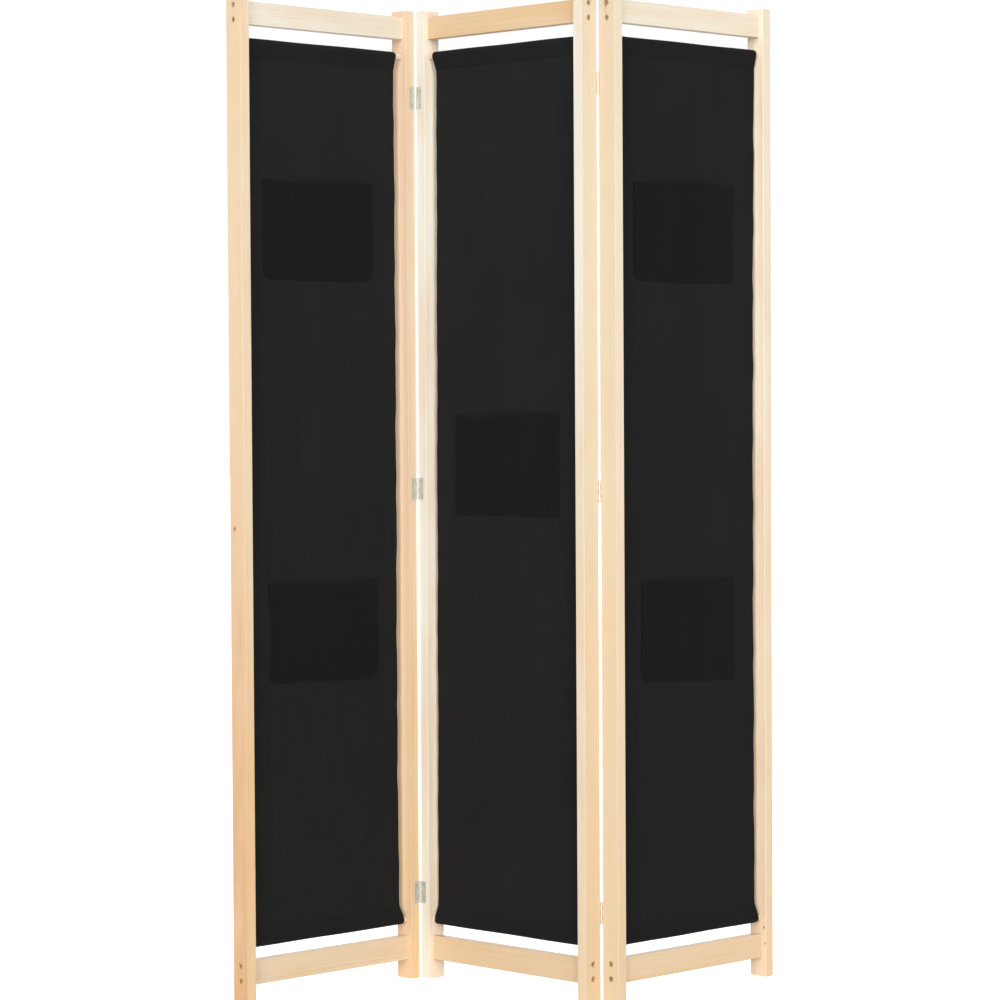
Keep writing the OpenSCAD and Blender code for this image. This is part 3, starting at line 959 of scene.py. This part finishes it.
# Each pocket: how its sewn outline differs from a rectangle. Lines run left to right or bottom to
# top, corners are the radii of the lower left and right, and mouth is how far the top stands out.
POCKETS = {
    "left_upper_pocket": {
        "top": (2, -3, -2, 1, 3), "bottom": (4, 2, 4), "left": (0.5, -3.5, -0.5),
        "right": (0.5, 0, 0), "corners": (14, 13), "mouth": 3.6,
    },
    "left_lower_pocket": {
        "top": (5, 0, -2, -3, 4), "bottom": (4, 1, -2), "left": (-0.5, 2.5, -1.5),
        "right": (-0.5, 0, -0.5), "corners": (12, 25), "mouth": 4.4,
    },
    "centre_middle_pocket": {
        "top": (3, -1, 2, 5, 7), "bottom": (-1, 0, -1), "left": (-2.5, -0.5, 1.5),
        "right": (-0.5, -0.5, -0.5), "corners": (14, 8), "mouth": 3.8,
    },
    "right_upper_pocket": {
        "top": (-3, -5, -3, -1, -2), "bottom": (2, -1, 2), "left": (-2.5, -2.5, -2.5),
        "right": (0.5, 0, 0.5), "corners": (14, 14), "mouth": 3.6,
    },
    "right_lower_pocket": {
        "top": (5, 2, -1, -4, 4), "bottom": (5, -1, -6), "left": (1.5, 2.5, 3.5),
        "right": (-6.5, -9, -12.5), "corners": (14, 15), "mouth": 4.6,
    },
}


class Pocket:
    """A pocket's shape: p runs across and q up from its lower left, both in millimetres."""

    def __init__(self, name, panel):
        self.cloth = CLOTHS[panel]
        low, high = own_box(panel, name)
        self.x, self.z = low[0], low[2]
        self.width, self.height = high[0] - low[0], high[2] - low[2]
        shape = POCKETS[name]
        self.lines = {key: line_through(shape[key]) for key in ("top", "bottom", "left", "right")}
        self.corners = shape["corners"]
        self.mouth = shape["mouth"]
        self.phase = random.Random(name).uniform(0, 6)

    def inset(self, side, q):
        """How far a lower corner's round takes the edge in at a height."""
        radius = self.corners[side]
        under = np.maximum(radius - q, 0)
        return radius - np.sqrt(np.maximum(radius**2 - under**2, 0))

    def from_edge(self, p, q):
        """Distance in from the sewn edge."""
        distances = [q]
        for side, along in ((0, p), (1, self.width - p)):
            radius = self.corners[side]
            round_part = radius - np.hypot(radius - along, radius - q)
            in_corner = (along < radius) & (q < radius)
            distances.append(np.where(in_corner, round_part, along))
        return np.maximum(np.minimum.reduce(distances), 0)

    def spot(self, p, q, lift=0.0, under=0.0):
        """The point of the pocket's face at p, q, lifted off it or under it by a layer."""
        across, up = p / self.width, q / self.height
        x = self.x + p + self.lines["left"](up) * (1 - across) + self.lines["right"](up) * across
        z = self.z + q + self.lines["bottom"](across) * (1 - up) + self.lines["top"](across) * up**2
        distance = self.from_edge(p, q)
        stand = np.interp(distance, POCKET_EDGE, POCKET_RISE)
        # It bellies out towards the mouth, with shallow folds, and never lies in the cloth.
        belly = rise(distance, 3, 70) * (0.3 + 0.7 * np.clip(up, 0, 1) ** 2)
        side_ways = np.sin(math.pi * np.clip(across, 0, 1)) ** 0.7
        stand = stand + self.mouth * belly + 0.5 * self.mouth * side_ways * rise(up, 0.7, 1.0)
        fold = np.sin(p / 17 + self.phase) * np.sin(p / 43 + 2 * self.phase)
        stand = stand + POCKET_FOLD * fold * rise(distance, 4, 30)
        stand = np.maximum(stand - under, np.minimum(stand, LEAST_STAND))
        y = -(self.cloth.forward(x, z) + stand + lift)
        return np.stack(np.broadcast_arrays(x, y, z), -1)


def pocket_piece(name, panel, material, thread):
    """One pocket with its mouth's hem folded behind it, and its stitches."""
    pocket = Pocket(name, panel)
    face_top = pocket.height - POCKET_HEM_STITCH
    up = spaced(0, face_top, POCKET_EDGE, POCKET_ROW_STEP)[: -len(POCKET_EDGE)]
    top = pocket.height - MOUTH_ROWS
    q = np.concatenate([up[up < top[0] - 3], top])
    # The hem's stitches press the face in, and the hem is one layer under it.
    pressed = DENT * bell(q - face_top, 0.9)
    hem_under = [LAYER / 2, LAYER * 0.85] + [LAYER] * (len(HEM_ROWS) - 2)
    q = np.concatenate([q, pocket.height - HEM_ROWS])[:, None]
    under = np.concatenate([pressed, hem_under])[:, None]

    left, right = pocket.inset(0, q), pocket.width - pocket.inset(1, q)
    edge = np.array(POCKET_EDGE)
    shares = np.arange(1, POCKET_COLUMNS) / POCKET_COLUMNS
    between = left + edge[-1] + (right - left - 2 * edge[-1]) * shares
    p = np.concatenate([left + edge, between, right - edge[::-1]], axis=1)
    points = pocket.spot(p, q + 0 * p, under=under + 0 * p)
    piece = grid_piece(name.replace("pocket", "pocket_cloth"), panel, points, [material])

    across = np.linspace(POCKET_STITCH + 1, pocket.width - POCKET_STITCH - 1, 90)
    line = pocket.spot(across, np.full(len(across), face_top), lift=SURFACE - SUNK)
    rows = [outline_row(pocket, POCKET_STITCH), stitch_row(line, -1)]
    sewing = stitch_piece(name.replace("pocket", "pocket_stitches"), panel, rows, thread)

    body = f"{panel}_panel"
    for made in (piece, sewing):
        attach(made, body)
    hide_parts(name)


def outline_row(pocket, inset):
    """A stitch row round the pocket's sides, lower corners and bottom, this far inside its edge."""
    left, right = pocket.corners
    p, q = [inset] * 30, list(np.linspace(pocket.height - 1, left, 30))
    for turn in np.linspace(0, math.pi / 2, 14):
        p.append(left - (left - inset) * math.cos(turn))
        q.append(left - (left - inset) * math.sin(turn))
    p += list(np.linspace(left, pocket.width - right, 40)[1:])
    q += [inset] * 39
    for turn in np.linspace(0, math.pi / 2, 14):
        p.append(pocket.width - right + (right - inset) * math.sin(turn))
        q.append(right - (right - inset) * math.cos(turn))
    p += [pocket.width - inset] * 30
    q += list(np.linspace(right, pocket.height - 1, 30))
    return stitch_row(pocket.spot(np.array(p), np.array(q), lift=SURFACE - SUNK / 2), -1)


# ---- The scene ----

bpy.context.scene.view_settings.view_transform = "Standard"
make_camera()
make_lights()
make_floor()
dress_frame()

CLOTHS = {panel: Cloth(panel) for panel in PANELS}
for name in POCKETS:
    panel = name.split("_")[0]
    low, high = own_box(panel, name)
    for x in (low[0], high[0]):
        CLOTHS[panel].corners.append((x, low[2], -1))
        CLOTHS[panel].corners.append((x, high[2], 1))

thread = thread_material()
for panel in PANELS:
    single_shade, double_shade, pocket_shade = CLOTH_SHADES_AND_LIGHT[panel]
    single = cloth_material(f"{panel}_cloth", panel, single_shade)
    double = cloth_material(f"{panel}_double_cloth", panel, double_shade)
    cloth_panel(panel, [single, double], thread)
    pocket_cloth = cloth_material(f"{panel}_pocket_cloth", panel, pocket_shade)
    for name in POCKETS:
        if name.startswith(panel):
            pocket_piece(name, panel, pocket_cloth, thread)
